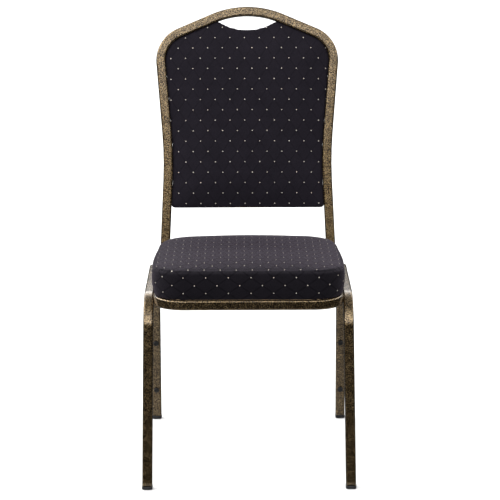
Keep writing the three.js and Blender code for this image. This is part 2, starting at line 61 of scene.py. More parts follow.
# Studio. The sky's stops are the height of a direction, from -1 below to 1 overhead, and its brightness
FLOOR_REACH = 60.0
SKY_STRENGTH = 3.2
SKY = ((-0.9, 0.21), (-0.55, 0.19), (-0.35, 0.03), (-0.1, 0.01), (0.02, 0.006), (0.16, 0.01), (0.21, 0.02),
       (0.25, 0.12), (0.29, 0.90), (0.42, 0.95), (0.60, 0.98), (0.80, 0.48), (0.95, 0.14))
SKY_LEFT, SKY_RIGHT = 1.18, 0.74  # how much brighter the sky is on the side of -X
SKY_BLEND = 0.07  # the blend between the two reaches this far to each side of the middle
# Bearing 0 is in front of the chair, and -90 degrees is on the side of -X
SUN_HEIGHT, SUN_BEARING, SUN_WIDTH = math.radians(50), math.radians(-95), math.radians(60)
SUN_STRENGTH = 1.2

# Bent square tube
TUBE = 21 * MM
HALF_TUBE = TUBE / 2
TUBE_CORNER = 4 * MM
SECTION_STEP = math.radians(15)
BEND_STEP = math.radians(2.5)
FLAT_EDGE = 0.25 * MM  # keeps the tube's faces flat up to its rounded corners
END_GUARD = 8 * MM  # keeps the wear of a cut end from spreading along the tube

FRONT_LEAN = math.radians(8)
REAR_LEAN = math.radians(17)
LEG_BEND = 62 * MM
SPLAY = math.radians(0.72)
TOE = math.radians(0.1)
SEAT_FRAME_BEND = 65 * MM - HALF_TUBE
SEAT_FRAME_TAPER = 0.3 * MM

SIDES = ((-1, "left"), (1, "right"))

# Small parts. A bumper's profile is its radius and height above the tube, from its stem to its dimple
ROUND_SIDES = 40
BUMPER_PROUD = 4 * MM
BUMPER_PROFILE = [(radius * MM, height * MM) for radius, height in (
    (0, -6), (2.8, -6), (2.8, 0), (5.9, 0), (6.0, 0.5), (6.0, 2.3), (5.6, 3.3),
    (4.8, 3.9), (4.0, 4.0), (3.2, 3.7), (2.6, 2.9), (1.4, 2.5), (0, 2.4),
)]
WELD_RADIUS = 2.0 * MM
WELD_RIPPLE = 0.18
WELD_PITCH = 2.4 * MM
WELD_STEP = 0.8 * MM
WELD_SIDES = 10
WELD_TIP = 0.6 * MM  # how blunt the ends of an open bead are
RAIL_WELD_STARTS = (-120 * MM, 45 * MM)
RAIL_WELD_LENGTH = 35 * MM
# A small CAD part gets rounded edges: closer points are merged, flatter edges go, sharper ones are rounded
MERGE_GAP = 0.01 * MM
FLAT_ANGLE = math.radians(1)
SHARP_ANGLE = math.radians(38)
STAPLE_INSET = 27 * MM
STAPLE_SPACING = 30 * MM
STAPLE_LENGTH = 10 * MM
STAPLE_WIRE = 1.1 * MM
STAPLE_TAPER = 0.86

# The back leans, and is drawn in its own axes: across, up its plane, and depth behind its front
BACK_LEAN = math.radians(11.5)
LEAN_COS, LEAN_SIN = math.cos(BACK_LEAN), math.sin(BACK_LEAN)

# Outside of the back tube's right half, from its lower end up: half-width, height, bend radius
BACK_FOOT = (199 * MM, -104 * MM, 0)
BACK_KINK = (199 * MM, -45 * MM, 300 * MM)
BACK_WAIST = (188.5 * MM, 190.7 * MM, 842 * MM)
BACK_SHOULDER = (210.2 * MM, 457.3 * MM, 79 * MM)
BACK_CROWN = (0, 546.4 * MM, 210 * MM)
BACK_HALF = [BACK_FOOT, BACK_KINK, BACK_WAIST, BACK_SHOULDER, BACK_CROWN]

# Back panel, inside that tube
PAD_BOTTOM = 72.5 * MM
PAD_BOTTOM_RADIUS = 9 * MM
PAD_SCOOP = (66 * MM, 497 * MM, 4 * MM)
PAD_DIP = (0, 458 * MM, 115 * MM)
PAD_GAP = -1.4 * MM
PAD_CENTRE = np.array([0.0, 270 * MM])
BOARD_BACK = 12 * MM
PAD_EDGE = 4.5 * MM
PAD_CROWN = 19 * MM
PAD_CROWN_REACH = 46 * MM
PAD_FACE_DEPTH = 1.2 * MM
FRONT_CAP, REAR_CAP = 4 * MM, 2 * MM  # how far the cloth may puff out
REAR_RIM = 15.1 * MM
REAR_EDGE = 20.2 * MM
REAR_CROWN = 3 * MM

# Cloth over foam
VOXEL = 4 * MM
PAD_RIM = 1.2 * VOXEL
CLOTH_FRAMES = 20
CLOTH_SETTINGS = {
    "quality": 5,
    "mass": 0.3,
    "tension_stiffness": 15,
    "compression_stiffness": 15,
    "bending_stiffness": 1.5,
    "use_pressure": True,
    "uniform_pressure_force": 4.0,
}
LOOP_SPACING = 3 * MM
SEAT_FRONT_HALF = 199 * MM
SEAT_MIDDLE_HALF = 203.5 * MM
SEAT_REAR_HALF = 192.5 * MM
SEAT_WIDEST_SHARE = 0.42
SEAT_FRONT_RADIUS = 68 * MM
SEAT_SIDE_RADIUS = 900 * MM
SEAT_REAR_RADIUS = 66 * MM
SEAT_CROWN = 6.5 * MM
SEAT_CROWN_REACH = 90 * MM
SEAT_ROLL = 15 * MM
SEAT_ROLL_RISE = 3 * MM
SEAT_SEAM_BELOW_TOP = 11.5 * MM
SEAT_DROOP = 7 * MM  # how far the rear corners of the top sit below the middle of its rear edge
SEAT_FRONT_DROOP = 0.1  # the same at the front corners, as a share
# Boxing of the seat from its foot to its seam: share of its height, and how far out it stands
SEAT_BOXING = ((0.0, -4 * MM), (0.16, -1 * MM), (0.45, 1 * MM), (0.8, 1.2 * MM), (1.0, 0.0))
SEAT_CAP = 4 * MM
SEAM_DEPTH = 2.2 * MM
SEAM_WIDTH = 2.8 * MM
SEAM_LIFT = 0.5 * MM
SEAM_SINK = 0.35  # how far it is pulled down, as a share of its depth
SEAM_REACH = 4 * VOXEL
SEAM_HOLD_HEIGHT, SEAM_HOLD_DEPTH = 0.7 * VOXEL, 1.5 * VOXEL  # the cloth is held this close to the seam
SEAT_TOP_DEPTH = 1 * MM
BOXING_TILT = -0.7  # faces that look further down than this belong to the underside
SEAM_PUCKERS = ((0.18, 9 * MM, 0), (0.12, 23 * MM, 1))  # share of its depth, spacing and phase
SEAT_BOTTOM_GAP = 0.4 * MM
SEAT_CROWN_EDGE = 30 * MM  # the crown is evened out further in than this
SEAT_EVENING, PAD_EVENING = 60, 80  # rounds
SEAT_FILL, FRONT_FILL, REAR_FILL = 0.85, 0.8, 0.5

VEIN_WANDER = 1.2 * MM  # how far the powder coat's veins stray

# Dot pattern of the cloth: a staggered lattice with a dot at each corner and centre of its cells. Its
# phases are measured from the cushion's foot and front, and from the back panel's own origin
TOP_PHASE = (8.3 * MM, 12 * MM)
BOXING_PHASE = (32.6 * MM, -18.0 * MM)
PAD_PHASE = (-6.0 * MM, 458 * MM)
CELL_WIDTH = 33.3 * MM
CELL_HEIGHT = 46.8 * MM
DOT_RADIUS = 1.0 * MM
WARP_RATE, WEFT_RATE = 7800, 11000  # radians per metre along the two diagonals
SEAT_FIGURE = 0.45
BACK_FIGURE = 0.2
SEAT_CLOTH_PAINTED_SHADE, BACK_CLOTH_PAINTED_LIGHT = 0.76, 1.4  # painted shade and painted light: one and the same cloth's ground is darkened on the seat and brightened on the back, standing in for how light falls on them
PERPENDICULAR = CELL_WIDTH * CELL_HEIGHT / math.hypot(CELL_WIDTH, CELL_HEIGHT)


# ---- material nodes


class Graph:
    """A node tree, with short calls for the nodes that are used most."""

    def __init__(self, tree):
        self.tree = tree

    def link(self, value, socket):
        """Connects a socket, or sets a plain value."""
        if isinstance(value, bpy.types.NodeSocket):
            self.tree.links.new(value, socket)
        elif value is not None:
            socket.default_value = value

    def add(self, kind, inputs=(), **settings):
        node = self.tree.nodes.new(kind)
        for key, value in settings.items():
            setattr(node, key, value)
        for socket, value in zip(node.inputs, inputs):
            self.link(value, socket)
        return node

    def math(self, operation, *values, clamp=False):
        node = self.add("ShaderNodeMath", values, operation=operation, use_clamp=clamp)
        return node.outputs[0]

    def weighted(self, *terms):
        """The sum of (value, weight) pairs."""
        parts = [self.math("MULTIPLY", value, weight) for value, weight in terms]
        total = parts[0]
        for part in parts[1:]:
            total = self.math("ADD", total, part)
        return total

    def vector(self, operation, *values):
        node = self.add("ShaderNodeVectorMath", values, operation=operation)
        return node.outputs["Value"] if operation == "LENGTH" else node.outputs[0]

    def texture(self, kind, place, output, settings=(), **inputs):
        node = self.add("ShaderNodeTex" + kind, **dict(settings))
        self.link(place, node.inputs["Vector"])
        for key, value in inputs.items():
            node.inputs[key].default_value = value
        return node.outputs[output]

    def noise(self, place, scale, detail=3.0, roughness=0.5):
        return self.texture("Noise", place, "Fac", Scale=scale, Detail=detail, Roughness=roughness)

    def cells(self, place, scale, feature="F1"):
        return self.texture("Voronoi", place, "Distance", {"feature": feature}, Scale=scale)

    def ramp(self, factor, stops):
        node = self.add("ShaderNodeValToRGB", [factor])
        elements = node.color_ramp.elements
        while len(elements) < len(stops):
            elements.new(0.5)
        for element, (position, colour) in zip(elements, stops):
            element.position = position
            element.color = (*colour, 1.0)
        return node.outputs["Color"]

    def remap(self, value, low, high, to_low, to_high):
        node = self.add("ShaderNodeMapRange", [value, low, high, to_low, to_high])
        return node.outputs["Result"]

    def mix(self, factor, first, second):
        node = self.add("ShaderNodeMix", data_type="RGBA")
        self.link(factor, node.inputs["Factor"])
        for value, index in ((first, 6), (second, 7)):
            colour = (*value, 1.0) if isinstance(value, tuple) else value
            self.link(colour, node.inputs[index])
        return node.outputs[2]


class Finish(Graph):
    """A material's node tree."""

    def __init__(self, name):
        self.material = bpy.data.materials.new(name)
        self.material.use_nodes = True
        super().__init__(self.material.node_tree)
        self.shader = self.tree.nodes["Principled BSDF"]

    def bump(self, height, strength, distance):
        node = self.add("ShaderNodeBump")
        node.inputs["Strength"].default_value = strength
        node.inputs["Distance"].default_value = distance
        self.link(height, node.inputs["Height"])
        self.link(node.outputs["Normal"], self.shader.inputs["Normal"])

    def finish(self, colour, roughness, **plain):
        """Connects colour and roughness, and sets the shader's other sockets by name."""
        self.link(colour, self.shader.inputs["Base Color"])
        self.link(roughness, self.shader.inputs["Roughness"])
        for key, value in plain.items():
            self.shader.inputs[key.replace("_", " ")].default_value = value
        return self.material

    def place(self):
        return self.add("ShaderNodeTexCoord").outputs["Object"]


def bronze_powder_coat():
    """Gold-vein powder coat: a net of gold over dark brown, pebbled, and rubbed brighter on its edges."""
    graph = Finish("bronze_powder_coat")
    place = graph.place()
    wander = graph.texture("Noise", place, "Color", Scale=420)
    shift = graph.vector("MULTIPLY", wander, (VEIN_WANDER, VEIN_WANDER, VEIN_WANDER))
    winding = graph.vector("ADD", place, shift)
    islands = graph.cells(winding, 255, "DISTANCE_TO_EDGE")
    grain = graph.noise(place, 900, 4, 0.65)
    patches = graph.noise(place, 55, 3)
    vein = graph.remap(islands, 0.02, 0.34, 1.0, 0.0)
    gold = graph.math("MULTIPLY", vein, graph.remap(grain, 0.34, 0.62, 0.15, 1.0))
    gold = graph.math("MULTIPLY", gold, graph.remap(patches, 0.3, 0.7, 0.85, 1.1))
    pointiness = graph.add("ShaderNodeNewGeometry").outputs["Pointiness"]
    worn = graph.remap(pointiness, 0.52, 0.60, 0.0, 0.35)
    rubbed = graph.math("MULTIPLY", worn, graph.remap(grain, 0.4, 0.6, 0.2, 1.0))
    tone = graph.math("ADD", gold, rubbed, clamp=True)
    colour = graph.ramp(tone, [
        (0.10, (0.009, 0.005, 0.002)),
        (0.36, (0.038, 0.024, 0.010)),
        (0.60, (0.25, 0.165, 0.070)),
        (1.00, (0.46, 0.34, 0.18)),
    ])
    roughness = graph.remap(tone, 0.0, 1.0, 0.20, 0.30)
    height = graph.weighted((grain, 0.5), (tone, 0.6))
    graph.bump(height, 0.14, 0.3 * MM)
    graph.link(graph.remap(tone, 0.1, 0.6, 0.35, 1.0), graph.shader.inputs["Coat Weight"])
    return graph.finish(colour, roughness, Metallic=0.9, Coat_Roughness=0.12)


def scaled(colour, share):
    return tuple(share * part for part in colour)


def lattice_distance(graph, cell, shift):
    """Distance in metres to the nearest lattice corner, with the lattice moved by a share of a cell."""
    moved = graph.vector("ADD", cell, (0.5 + shift, 0.5 + shift, 0.0))
    inside = graph.vector("FRACTION", moved)
    centred = graph.vector("SUBTRACT", inside, (0.5, 0.5, 0.0))
    flat = graph.vector("MULTIPLY", centred, (CELL_WIDTH, CELL_HEIGHT, 0.0))
    return graph.vector("LENGTH", flat), graph.vector("FLOOR", moved)


def line_distance(graph, value):
    """Distance in metres to the nearest diagonal where this sum of cell coordinates is whole."""
    part = graph.math("FRACT", graph.math("ADD", value, 0.5))
    return graph.math("MULTIPLY", graph.math("ABSOLUTE", graph.math("SUBTRACT", part, 0.5)), PERPENDICULAR)


def dotted_cloth(name, figure_strength, lift):
    """Near-black upholstery cloth with a fine twill, faint diagonal figure and small gold dots."""
    graph = Finish(name)
    cloth = graph.add("ShaderNodeUVMap", uv_map="Cloth").outputs["UV"]
    cell = graph.vector("MULTIPLY", cloth, (1 / CELL_WIDTH, 1 / CELL_HEIGHT, 0.0))
    corner, corner_cell = lattice_distance(graph, cell, 0.0)
    centre, centre_cell = lattice_distance(graph, cell, 0.5)
    nearest = graph.math("MINIMUM", corner, centre)
    ragged = graph.math("MULTIPLY", graph.math("SUBTRACT", graph.noise(cloth, 1400, 2), 0.5), 0.9 * MM)
    dot = graph.remap(graph.math("ADD", nearest, ragged), DOT_RADIUS * 0.75, DOT_RADIUS * 1.2, 1.0, 0.0)

    parts = graph.add("ShaderNodeSeparateXYZ", [cell])
    across, along = parts.outputs[0], parts.outputs[1]
    rising = line_distance(graph, graph.math("ADD", across, along))
    falling = line_distance(graph, graph.math("SUBTRACT", across, along))
    figure = graph.remap(graph.math("MINIMUM", rising, falling), 0.7 * MM, 2.0 * MM, 1.0, 0.0)

    place = graph.add("ShaderNodeSeparateXYZ", [cloth])
    rows = graph.math("ADD", place.outputs[0], place.outputs[1])
    columns = graph.math("SUBTRACT", place.outputs[0], place.outputs[1])
    warp = graph.math("SINE", graph.math("MULTIPLY", rows, WARP_RATE))
    weft = graph.math("SINE", graph.math("MULTIPLY", columns, WEFT_RATE))
    weave = graph.math("MULTIPLY", graph.math("ADD", warp, weft), 0.25)
    slub = graph.noise(cloth, 900, 3, 0.65)
    blotch = graph.noise(cloth, 22, 2)
    tone = graph.weighted((weave, 0.22), (slub, 0.6), (blotch, 0.2))
    # lift scales the ground colour: below 1 it is painted shade (the seat), above 1 painted light (the
    # back), on one and the same cloth
    ground = graph.ramp(tone, [
        (0.16, scaled((0.0034, 0.0027, 0.0047), lift)),
        (0.44, scaled((0.0082, 0.0067, 0.0104), lift)),
        (0.74, scaled((0.0178, 0.0148, 0.0214), lift)),
    ])
    ground = graph.mix(graph.math("MULTIPLY", figure, figure_strength), ground, (0.0027, 0.0024, 0.0036))

    noise = graph.add("ShaderNodeTexWhiteNoise")
    number = graph.vector("ADD", corner_cell, graph.vector("MULTIPLY", centre_cell, (17.0, 31.0, 0.0)))
    graph.link(number, noise.inputs["Vector"])
    thread = graph.ramp(noise.outputs["Value"], [
        (0.0, (0.85, 0.78, 0.66)),
        (0.5, (0.92, 0.88, 0.80)),
        (0.8, (0.86, 0.70, 0.58)),
        (1.0, (0.95, 0.92, 0.86)),
    ])
    colour = graph.mix(dot, ground, thread)
    height = graph.weighted((weave, 0.35), (slub, 0.35), (dot, 0.9))
    height = graph.math("SUBTRACT", height, graph.math("MULTIPLY", figure, 0.35))
    graph.bump(height, 0.55, 0.4 * MM)
    roughness = graph.remap(slub, 0.3, 0.7, 0.95, 0.8)
    matt = graph.math("MULTIPLY", figure, figure_strength)
    graph.link(graph.remap(matt, 0.0, 1.0, 0.13, 0.02), graph.shader.inputs["Sheen Weight"])
    graph.link(graph.remap(matt, 0.0, 1.0, 0.13, 0.03), graph.shader.inputs["Specular IOR Level"])
    return graph.finish(colour, roughness, Sheen_Roughness=0.4, Sheen_Tint=(0.66, 0.54, 0.70, 1.0))


def moulded_black(name, base, lift, roughness, pebble):
    """Black plastic or rubber: pebbled, a little uneven, dustier where it is rough."""
    graph = Finish(name)
    place = graph.place()
    grain = graph.noise(place, pebble, 3)
    scuffs = graph.noise(place, 90, 4, 0.7)
    colour = graph.ramp(scuffs, [(0.35, base), (0.75, lift)])
    rough = graph.remap(scuffs, 0.3, 0.7, roughness, roughness + 0.15)
    graph.bump(grain, 0.25, 0.15 * MM)
    return graph.finish(colour, rough, Specular_IOR_Level=0.4)


def brushed_metal(name, dark, light, stretch):
    """Plain or zinc-plated steel with fine brushing and faint clouding."""
    graph = Finish(name)
    place = graph.place()
    brushed = graph.vector("MULTIPLY", place, stretch)
    lines = graph.noise(brushed, 900, 2)
    clouds = graph.noise(place, 140, 3)
    colour = graph.ramp(graph.weighted((lines, 0.5), (clouds, 0.5)), [(0.3, dark), (0.7, light)])
    graph.bump(lines, 0.15, 0.1 * MM)
    return graph.finish(colour, graph.remap(clouds, 0.3, 0.7, 0.3, 0.5), Metallic=1.0)


def plywood():
    """Birch ply: long grain on the faces and thin dark glue lines on the edges."""
    graph = Finish("plywood")
    place = graph.place()
    grain = graph.noise(graph.vector("MULTIPLY", place, (60.0, 6.0, 60.0)), 4, 6, 0.6)
    layers = graph.texture("Wave", place, "Fac", {"bands_direction": "Z"}, Scale=110)
    tone = graph.weighted((grain, 0.7), (layers, 0.3))
    colour = graph.ramp(tone, [
        (0.2, (0.30, 0.17, 0.08)),
        (0.5, (0.52, 0.35, 0.18)),
        (0.8, (0.66, 0.49, 0.29)),
    ])
    graph.bump(grain, 0.2, 0.2 * MM)
    return graph.finish(colour, graph.remap(grain, 0.3, 0.7, 0.6, 0.8))


def open_foam():
    """Cut polyurethane foam: pale yellow and full of small cells."""
    graph = Finish("open_foam")
    place = graph.place()
    bubbles = graph.cells(place, 700)
    colour = graph.ramp(bubbles, [(0.1, (0.45, 0.38, 0.2)), (0.6, (0.74, 0.67, 0.42))])
    graph.bump(bubbles, 0.6, 0.5 * MM)
    return graph.finish(colour, graph.remap(bubbles, 0.0, 0.7, 1.0, 0.85))


def spunbond():
    """Black non-woven dust cloth: pressed fibres with a grid of small bond points."""
    graph = Finish("spunbond")
    place = graph.place()
    fibres = graph.noise(graph.vector("MULTIPLY", place, (1.0, 3.0, 1.0)), 500, 5, 0.7)
    bonds = graph.cells(place, 650)
    tone = graph.weighted((fibres, 0.6), (bonds, 0.4))
    colour = graph.ramp(tone, [(0.3, (0.007, 0.007, 0.008)), (0.7, (0.032, 0.032, 0.036))])
    graph.bump(tone, 0.4, 0.3 * MM)
    return graph.finish(colour, graph.remap(fibres, 0.3, 0.7, 0.8, 1.0))


# ---- mesh tools


def new_piece(name, vertices, faces, material, smooth=True):
    mesh = bpy.data.meshes.new(name)
    mesh.from_pydata([tuple(map(float, point)) for point in vertices], [], faces)
    mesh.validate()
    mesh.materials.append(material)
    piece = bpy.data.objects.new(name, mesh)
    bpy.context.scene.collection.objects.link(piece)
    set_smooth(mesh, smooth)
    return piece


def set_smooth(mesh, smooth=True):
    mesh.polygons.foreach_set("use_smooth", [smooth] * len(mesh.polygons))


def gathered(items, attribute, width=1, kind=float):
    """One attribute of every vertex, edge, face or corner, as an array."""
    values = np.empty(len(items) * width, dtype=kind)
    items.foreach_get(attribute, values)
    return values.reshape(-1, width) if width > 1 else values


def coordinates(mesh):
    return gathered(mesh.vertices, "co", 3)


def set_coordinates(mesh, points):
    mesh.vertices.foreach_set("co", np.ascontiguousarray(points).ravel())
    mesh.update()


def applied(piece, kind, **settings):
    """Adds a modifier, applies it and returns the piece."""
    modifier = piece.modifiers.new(kind.title(), kind)
    for key, value in settings.items():
        setattr(modifier, key, value)
    depsgraph = bpy.context.evaluated_depsgraph_get()
    mesh = bpy.data.meshes.new_from_object(piece.evaluated_get(depsgraph))
    piece.modifiers.clear()
    old = piece.data
    piece.data = mesh
    bpy.data.meshes.remove(old)
    set_smooth(mesh)
    return piece


def unit(vector):
    return vector / np.linalg.norm(vector)


def rounded_corner(before, corner, after, radius, step):
    """Points of the arc that rounds one corner of an outline."""
    to_before, to_after = unit(before - corner), unit(after - corner)
    half = math.acos(np.clip(to_before @ to_after, -1, 1)) / 2
    start = corner + to_before * radius / math.tan(half)
    middle = corner + unit(to_before + to_after) * radius / math.sin(half)
    turn = math.pi - 2 * half
    sense = -math.copysign(1, to_before[0] * to_after[1] - to_before[1] * to_after[0])
    count = max(2, math.ceil(turn / step))
    arm = start - middle
    points = []
    for index in range(count + 1):
        angle = sense * turn * index / count
        cos, sin = math.cos(angle), math.sin(angle)
        points.append(middle + (arm[0] * cos - arm[1] * sin, arm[0] * sin + arm[1] * cos))
    return points


def rounded_line(corners, closed=False, step=BEND_STEP):
    """A line through (x, y, radius) corners, with each corner that has a radius rounded by an arc."""
    places = [np.array(corner[:2], dtype=float) for corner in corners]
    count = len(corners)
    points = []
    for index, corner in enumerate(corners):
        is_end = not closed and index in (0, count - 1)
        if is_end or corner[2] == 0:
            points.append(places[index])
        else:
            before, after = places[index - 1], places[(index + 1) % count]
            points += rounded_corner(before, places[index], after, corner[2], step)
    return np.array(points)


def with_mirror(half):
    """Adds the mirror image of a right-hand half that ends on the centre line."""
    return half + [(-x, y, radius) for x, y, radius in reversed(half) if x > 0]


def offset_line(corners, distance):
    """Moves an open line of corners sideways to its left, changing each bend radius to suit."""
    places = [np.array(corner[:2], dtype=float) for corner in corners]
    along = [unit(end - start) for start, end in zip(places, places[1:])]
    shifts = [np.array([-step[1], step[0]]) * distance for step in along]
    moved = [(*(places[0] + shifts[0]), 0)]
    for index in range(1, len(corners) - 1):
        first, second = along[index - 1], along[index]
        start, end = places[index] + shifts[index - 1], places[index] + shifts[index]
        turn = first[0] * second[1] - first[1] * second[0]
        gap = end - start
        reach = (gap[0] * second[1] - gap[1] * second[0]) / turn
        radius = corners[index][2] - math.copysign(distance, turn)
        moved.append((*(start + first * reach), radius))
    moved.append((*(places[-1] + shifts[-1]), 0))
    return moved


def even_outline(half):
    """The closed outline of a right-hand half and its mirror image, with its points at even spacing."""
    return even_loop(rounded_line(with_mirror(half), closed=True), LOOP_SPACING)


def even_loop(loop, spacing):
    """The same closed loop, with its points at even spacing."""
    closed = np.vstack([loop, loop[:1]])
    length = np.concatenate([[0.0], np.cumsum(np.linalg.norm(np.diff(closed, axis=0), axis=1))])
    count = int(round(length[-1] / spacing))
    stops = np.arange(count) * length[-1] / count
    return np.stack([np.interp(stops, length, closed[:, axis]) for axis in (0, 1)], axis=1)


def ring_faces(rings, sides):
    """Faces that join rings of vertices, then close both ends with the two vertices that follow them."""
    first, last, top = rings * sides, rings * sides + 1, (rings - 1) * sides
    faces = []
    for side in range(sides):
        following = (side + 1) % sides
        faces.append((first, following, side))
        for low in range(0, top, sides):
            high = low + sides
            faces.append((low + side, low + following, high + following, high + side))
        faces.append((last, top + side, top + following))
    return faces


def stacked(loop, centre, profile):
    """Vertices and faces of a closed solid with scaled copies of a loop, from (scale, height) steps."""
    rings = profile[1:-1]
    vertices = [(*(centre + scale * (point - centre)), height) for scale, height in rings for point in loop]
    vertices += [(*centre, profile[0][1]), (*centre, profile[-1][1])]
    return np.array(vertices), ring_faces(len(rings), len(loop))


def along_loop(points, loop):
    """Distance of each point from a closed loop, and how far round the loop its nearest spot is."""
    start, end = loop, np.roll(loop, -1, axis=0)
    step = end - start
    length = np.linalg.norm(step, axis=1)
    travelled = np.concatenate([[0.0], np.cumsum(length)[:-1]])
    best = np.full(len(points), np.inf)
    place = np.zeros(len(points))
    for index in range(len(loop)):
        share = np.clip(((points - start[index]) @ step[index]) / length[index] ** 2, 0, 1)
        distance = np.linalg.norm(points - (start[index] + share[:, None] * step[index]), axis=1)
        closer = distance < best
        best[closer] = distance[closer]
        place[closer] = travelled[index] + share[closer] * length[index]
    return best, place, length.sum()


def relax(mesh, values, free, rounds):
    """Averages a value over each free vertex's neighbours, so that a dome has no ridges."""
    edges = gathered(mesh.edges, "vertices", 2, np.int64)
    both = np.concatenate([edges, edges[:, ::-1]])
    degree = np.bincount(both[:, 0], minlength=len(values))
    for _ in range(rounds):
        total = np.bincount(both[:, 0], weights=values[both[:, 1]], minlength=len(values))
        values = np.where(free, total / degree, values)
    return values


def inflated(piece, pinned, cap):
    """Blows the piece up as cloth that is held at its pinned vertices, and caps how far a point moves."""
    group = piece.vertex_groups.new(name="held")
    group.add([int(index) for index in np.nonzero(pinned)[0]], 1.0, "REPLACE")
    cloth = piece.modifiers.new("Cloth", "CLOTH")
    for key, value in CLOTH_SETTINGS.items():
        setattr(cloth.settings, key, value)
    cloth.settings.vertex_group_mass = group.name
    cloth.settings.effector_weights.gravity = 0
    cloth.point_cache.frame_start = 1
    cloth.point_cache.frame_end = CLOTH_FRAMES
    for number in range(1, CLOTH_FRAMES + 1):
        bpy.context.scene.frame_set(number)
    rest = coordinates(piece.data)
    depsgraph = bpy.context.evaluated_depsgraph_get()
    moved = coordinates(piece.evaluated_get(depsgraph).data)
    piece.modifiers.clear()
    piece.vertex_groups.clear()
    travel = moved - rest
    distance = np.linalg.norm(travel, axis=1, keepdims=True)
    limited = cap * np.tanh(distance / cap)
    set_coordinates(piece.data, rest + travel * limited / np.maximum(distance, TINY))
    bpy.context.scene.frame_set(1)
    return piece


def set_cloth_map(piece, uv_of_face):
    """Writes the pattern's coordinates, in metres on the cloth, for each corner of each face."""
    mesh = piece.data
    layer = mesh.uv_layers.new(name="Cloth")
    corners = gathered(mesh.loops, "vertex_index", kind=np.int64)
    starts = gathered(mesh.polygons, "loop_start", kind=np.int64)
    sizes = gathered(mesh.polygons, "loop_total", kind=np.int64)
    owner = np.repeat(np.arange(len(mesh.polygons)), sizes)
    layer.uv.foreach_set("vector", uv_of_face(corners, owner, starts, sizes).ravel())


# ---- bent tubes


def rounded_square(size, step):
    half = size / 2
    corners = [(-half, -half), (half, -half), (half, half), (-half, half)]
    return rounded_line([(x, y, TUBE_CORNER) for x, y in corners], closed=True, step=step)


def square_section():
    """The tube's outline, with an extra point on its flat sides close to each corner."""
    outline = rounded_square(TUBE, SECTION_STEP)
    points = []
    for index, point in enumerate(outline):
        following = outline[(index + 1) % len(outline)]
        points.append(point)
        length = np.linalg.norm(following - point)
        if length > TUBE / 4:
            points += [point + (following - point) * FLAT_EDGE / length,
                       following + (point - following) * FLAT_EDGE / length]
    return np.array(points)


def sweep(name, path, normal, sections, material, closed=False):
    """A closed solid swept along 3-D points that lie in one plane, with one section at each point."""
    path = np.asarray(path, dtype=float)
    count = len(path)
    before = np.roll(path, 1, axis=0) if closed else np.vstack([path[:1], path[:-1]])
    after = np.roll(path, -1, axis=0) if closed else np.vstack([path[1:], path[-1:]])
    along = after - before
    along /= np.linalg.norm(along, axis=1, keepdims=True)
    sideways = np.cross(along, normal)
    sideways /= np.linalg.norm(sideways, axis=1, keepdims=True)
    upward = np.cross(sideways, along)
    rings = [
        path[index] + np.outer(section[:, 0], sideways[index]) + np.outer(section[:, 1], upward[index])
        for index, section in enumerate(sections)
    ]
    sides = len(rings[0])
    vertices = np.concatenate(rings)
    faces = []
    for ring in range(count if closed else count - 1):
        low, high = ring * sides, (ring + 1) % count * sides
        for side in range(sides):
            following = (side + 1) % sides
            faces.append((low + side, high + side, high + following, low + following))
    if not closed:
        faces.append(tuple(range(sides)))
        faces.append(tuple(reversed(range((count - 1) * sides, count * sides))))
    return outward(new_piece(name, vertices, faces, material))


def outward(piece):
    """Turns all faces of a closed mesh outwards."""
    mesh = bmesh.new()
    mesh.from_mesh(piece.data)
    bmesh.ops.recalc_face_normals(mesh, faces=mesh.faces[:])
    mesh.to_mesh(piece.data)
    mesh.free()
    return piece


def tube(name, path, normal, material):
    sections = [square_section()] * len(path)
    piece = sweep(name, path, normal, sections, material)
    mark_flat_ends(piece, sections[0])
    return piece


def mark_flat_ends(piece, section):
    """The cut ends of a tube keep a hard edge."""
    for polygon in piece.data.polygons:
        if len(polygon.vertices) == len(section):
            polygon.use_smooth = False


def guarded(path):
    """Adds a point close to each end of an open path."""
    points = [np.array(point, dtype=float) for point in path]
    second = points[0] + unit(points[1] - points[0]) * END_GUARD
    second_last = points[-1] + unit(points[-2] - points[-1]) * END_GUARD
    return [points[0], second, *points[1:-1], second_last, points[-1]]


def leg_path(side):
    """Centre line of a leg frame: up the front leg, back along the rail and down the rear leg."""
    low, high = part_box("leg_frame_right")
    front = low.y + HALF_TUBE / math.cos(FRONT_LEAN)
    rear = high.y - HALF_TUBE / math.cos(REAR_LEAN)
    rail = high.z - HALF_TUBE - HALF_TUBE * math.sin(SPLAY)
    rise = rail - low.z
    corners = [
        (front, low.z, 0),
        (front + rise * math.tan(FRONT_LEAN), rail, LEG_BEND),
        (rear - rise * math.tan(REAR_LEAN), rail, LEG_BEND),
        (rear, low.z, 0),
    ]
    foot = high.x - HALF_TUBE
    path = []
    for depth, height in rounded_line(corners):
        inward = (height - low.z) * math.tan(SPLAY) + (rear - depth) * math.tan(TOE)
        path.append((side * (foot - inward), depth, height))
    return guarded(path)


def level_ends(piece, path, level):
    """Slides the end rings of a swept tube along its legs, so that both are cut level."""
    points = coordinates(piece.data)
    sides = len(points) // len(path)
    ends = ((slice(0, sides), path[0], path[1]), (slice(-sides, None), path[-1], path[-2]))
    for ring, end, inner in ends:
        along = np.array(end) - np.array(inner)
        points[ring] += np.outer((level - points[ring][:, 2]) / along[2], along)
    set_coordinates(piece.data, points)


def leg_frames(material):
    low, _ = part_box("leg_frame_right")
    for side, name in SIDES:
        normal = (side * math.cos(SPLAY), 0.0, math.sin(SPLAY))
        path = leg_path(side)
        piece = tube("leg_tube_" + name, path, normal, material)
        level_ends(piece, path, low.z)
        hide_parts("leg_frame_" + name)
        joined(piece)


def back_origin():
    """Height along the back's plane, and depth, of the point that its outlines are drawn from."""
    points = to_back(coordinates(nodes["back_frame"].data))
    top = rounded_line(offset_line(with_mirror(BACK_HALF), HALF_TUBE))[:, 1].max() + HALF_TUBE
    return points[:, 1].max() - top, points[:, 2].min()


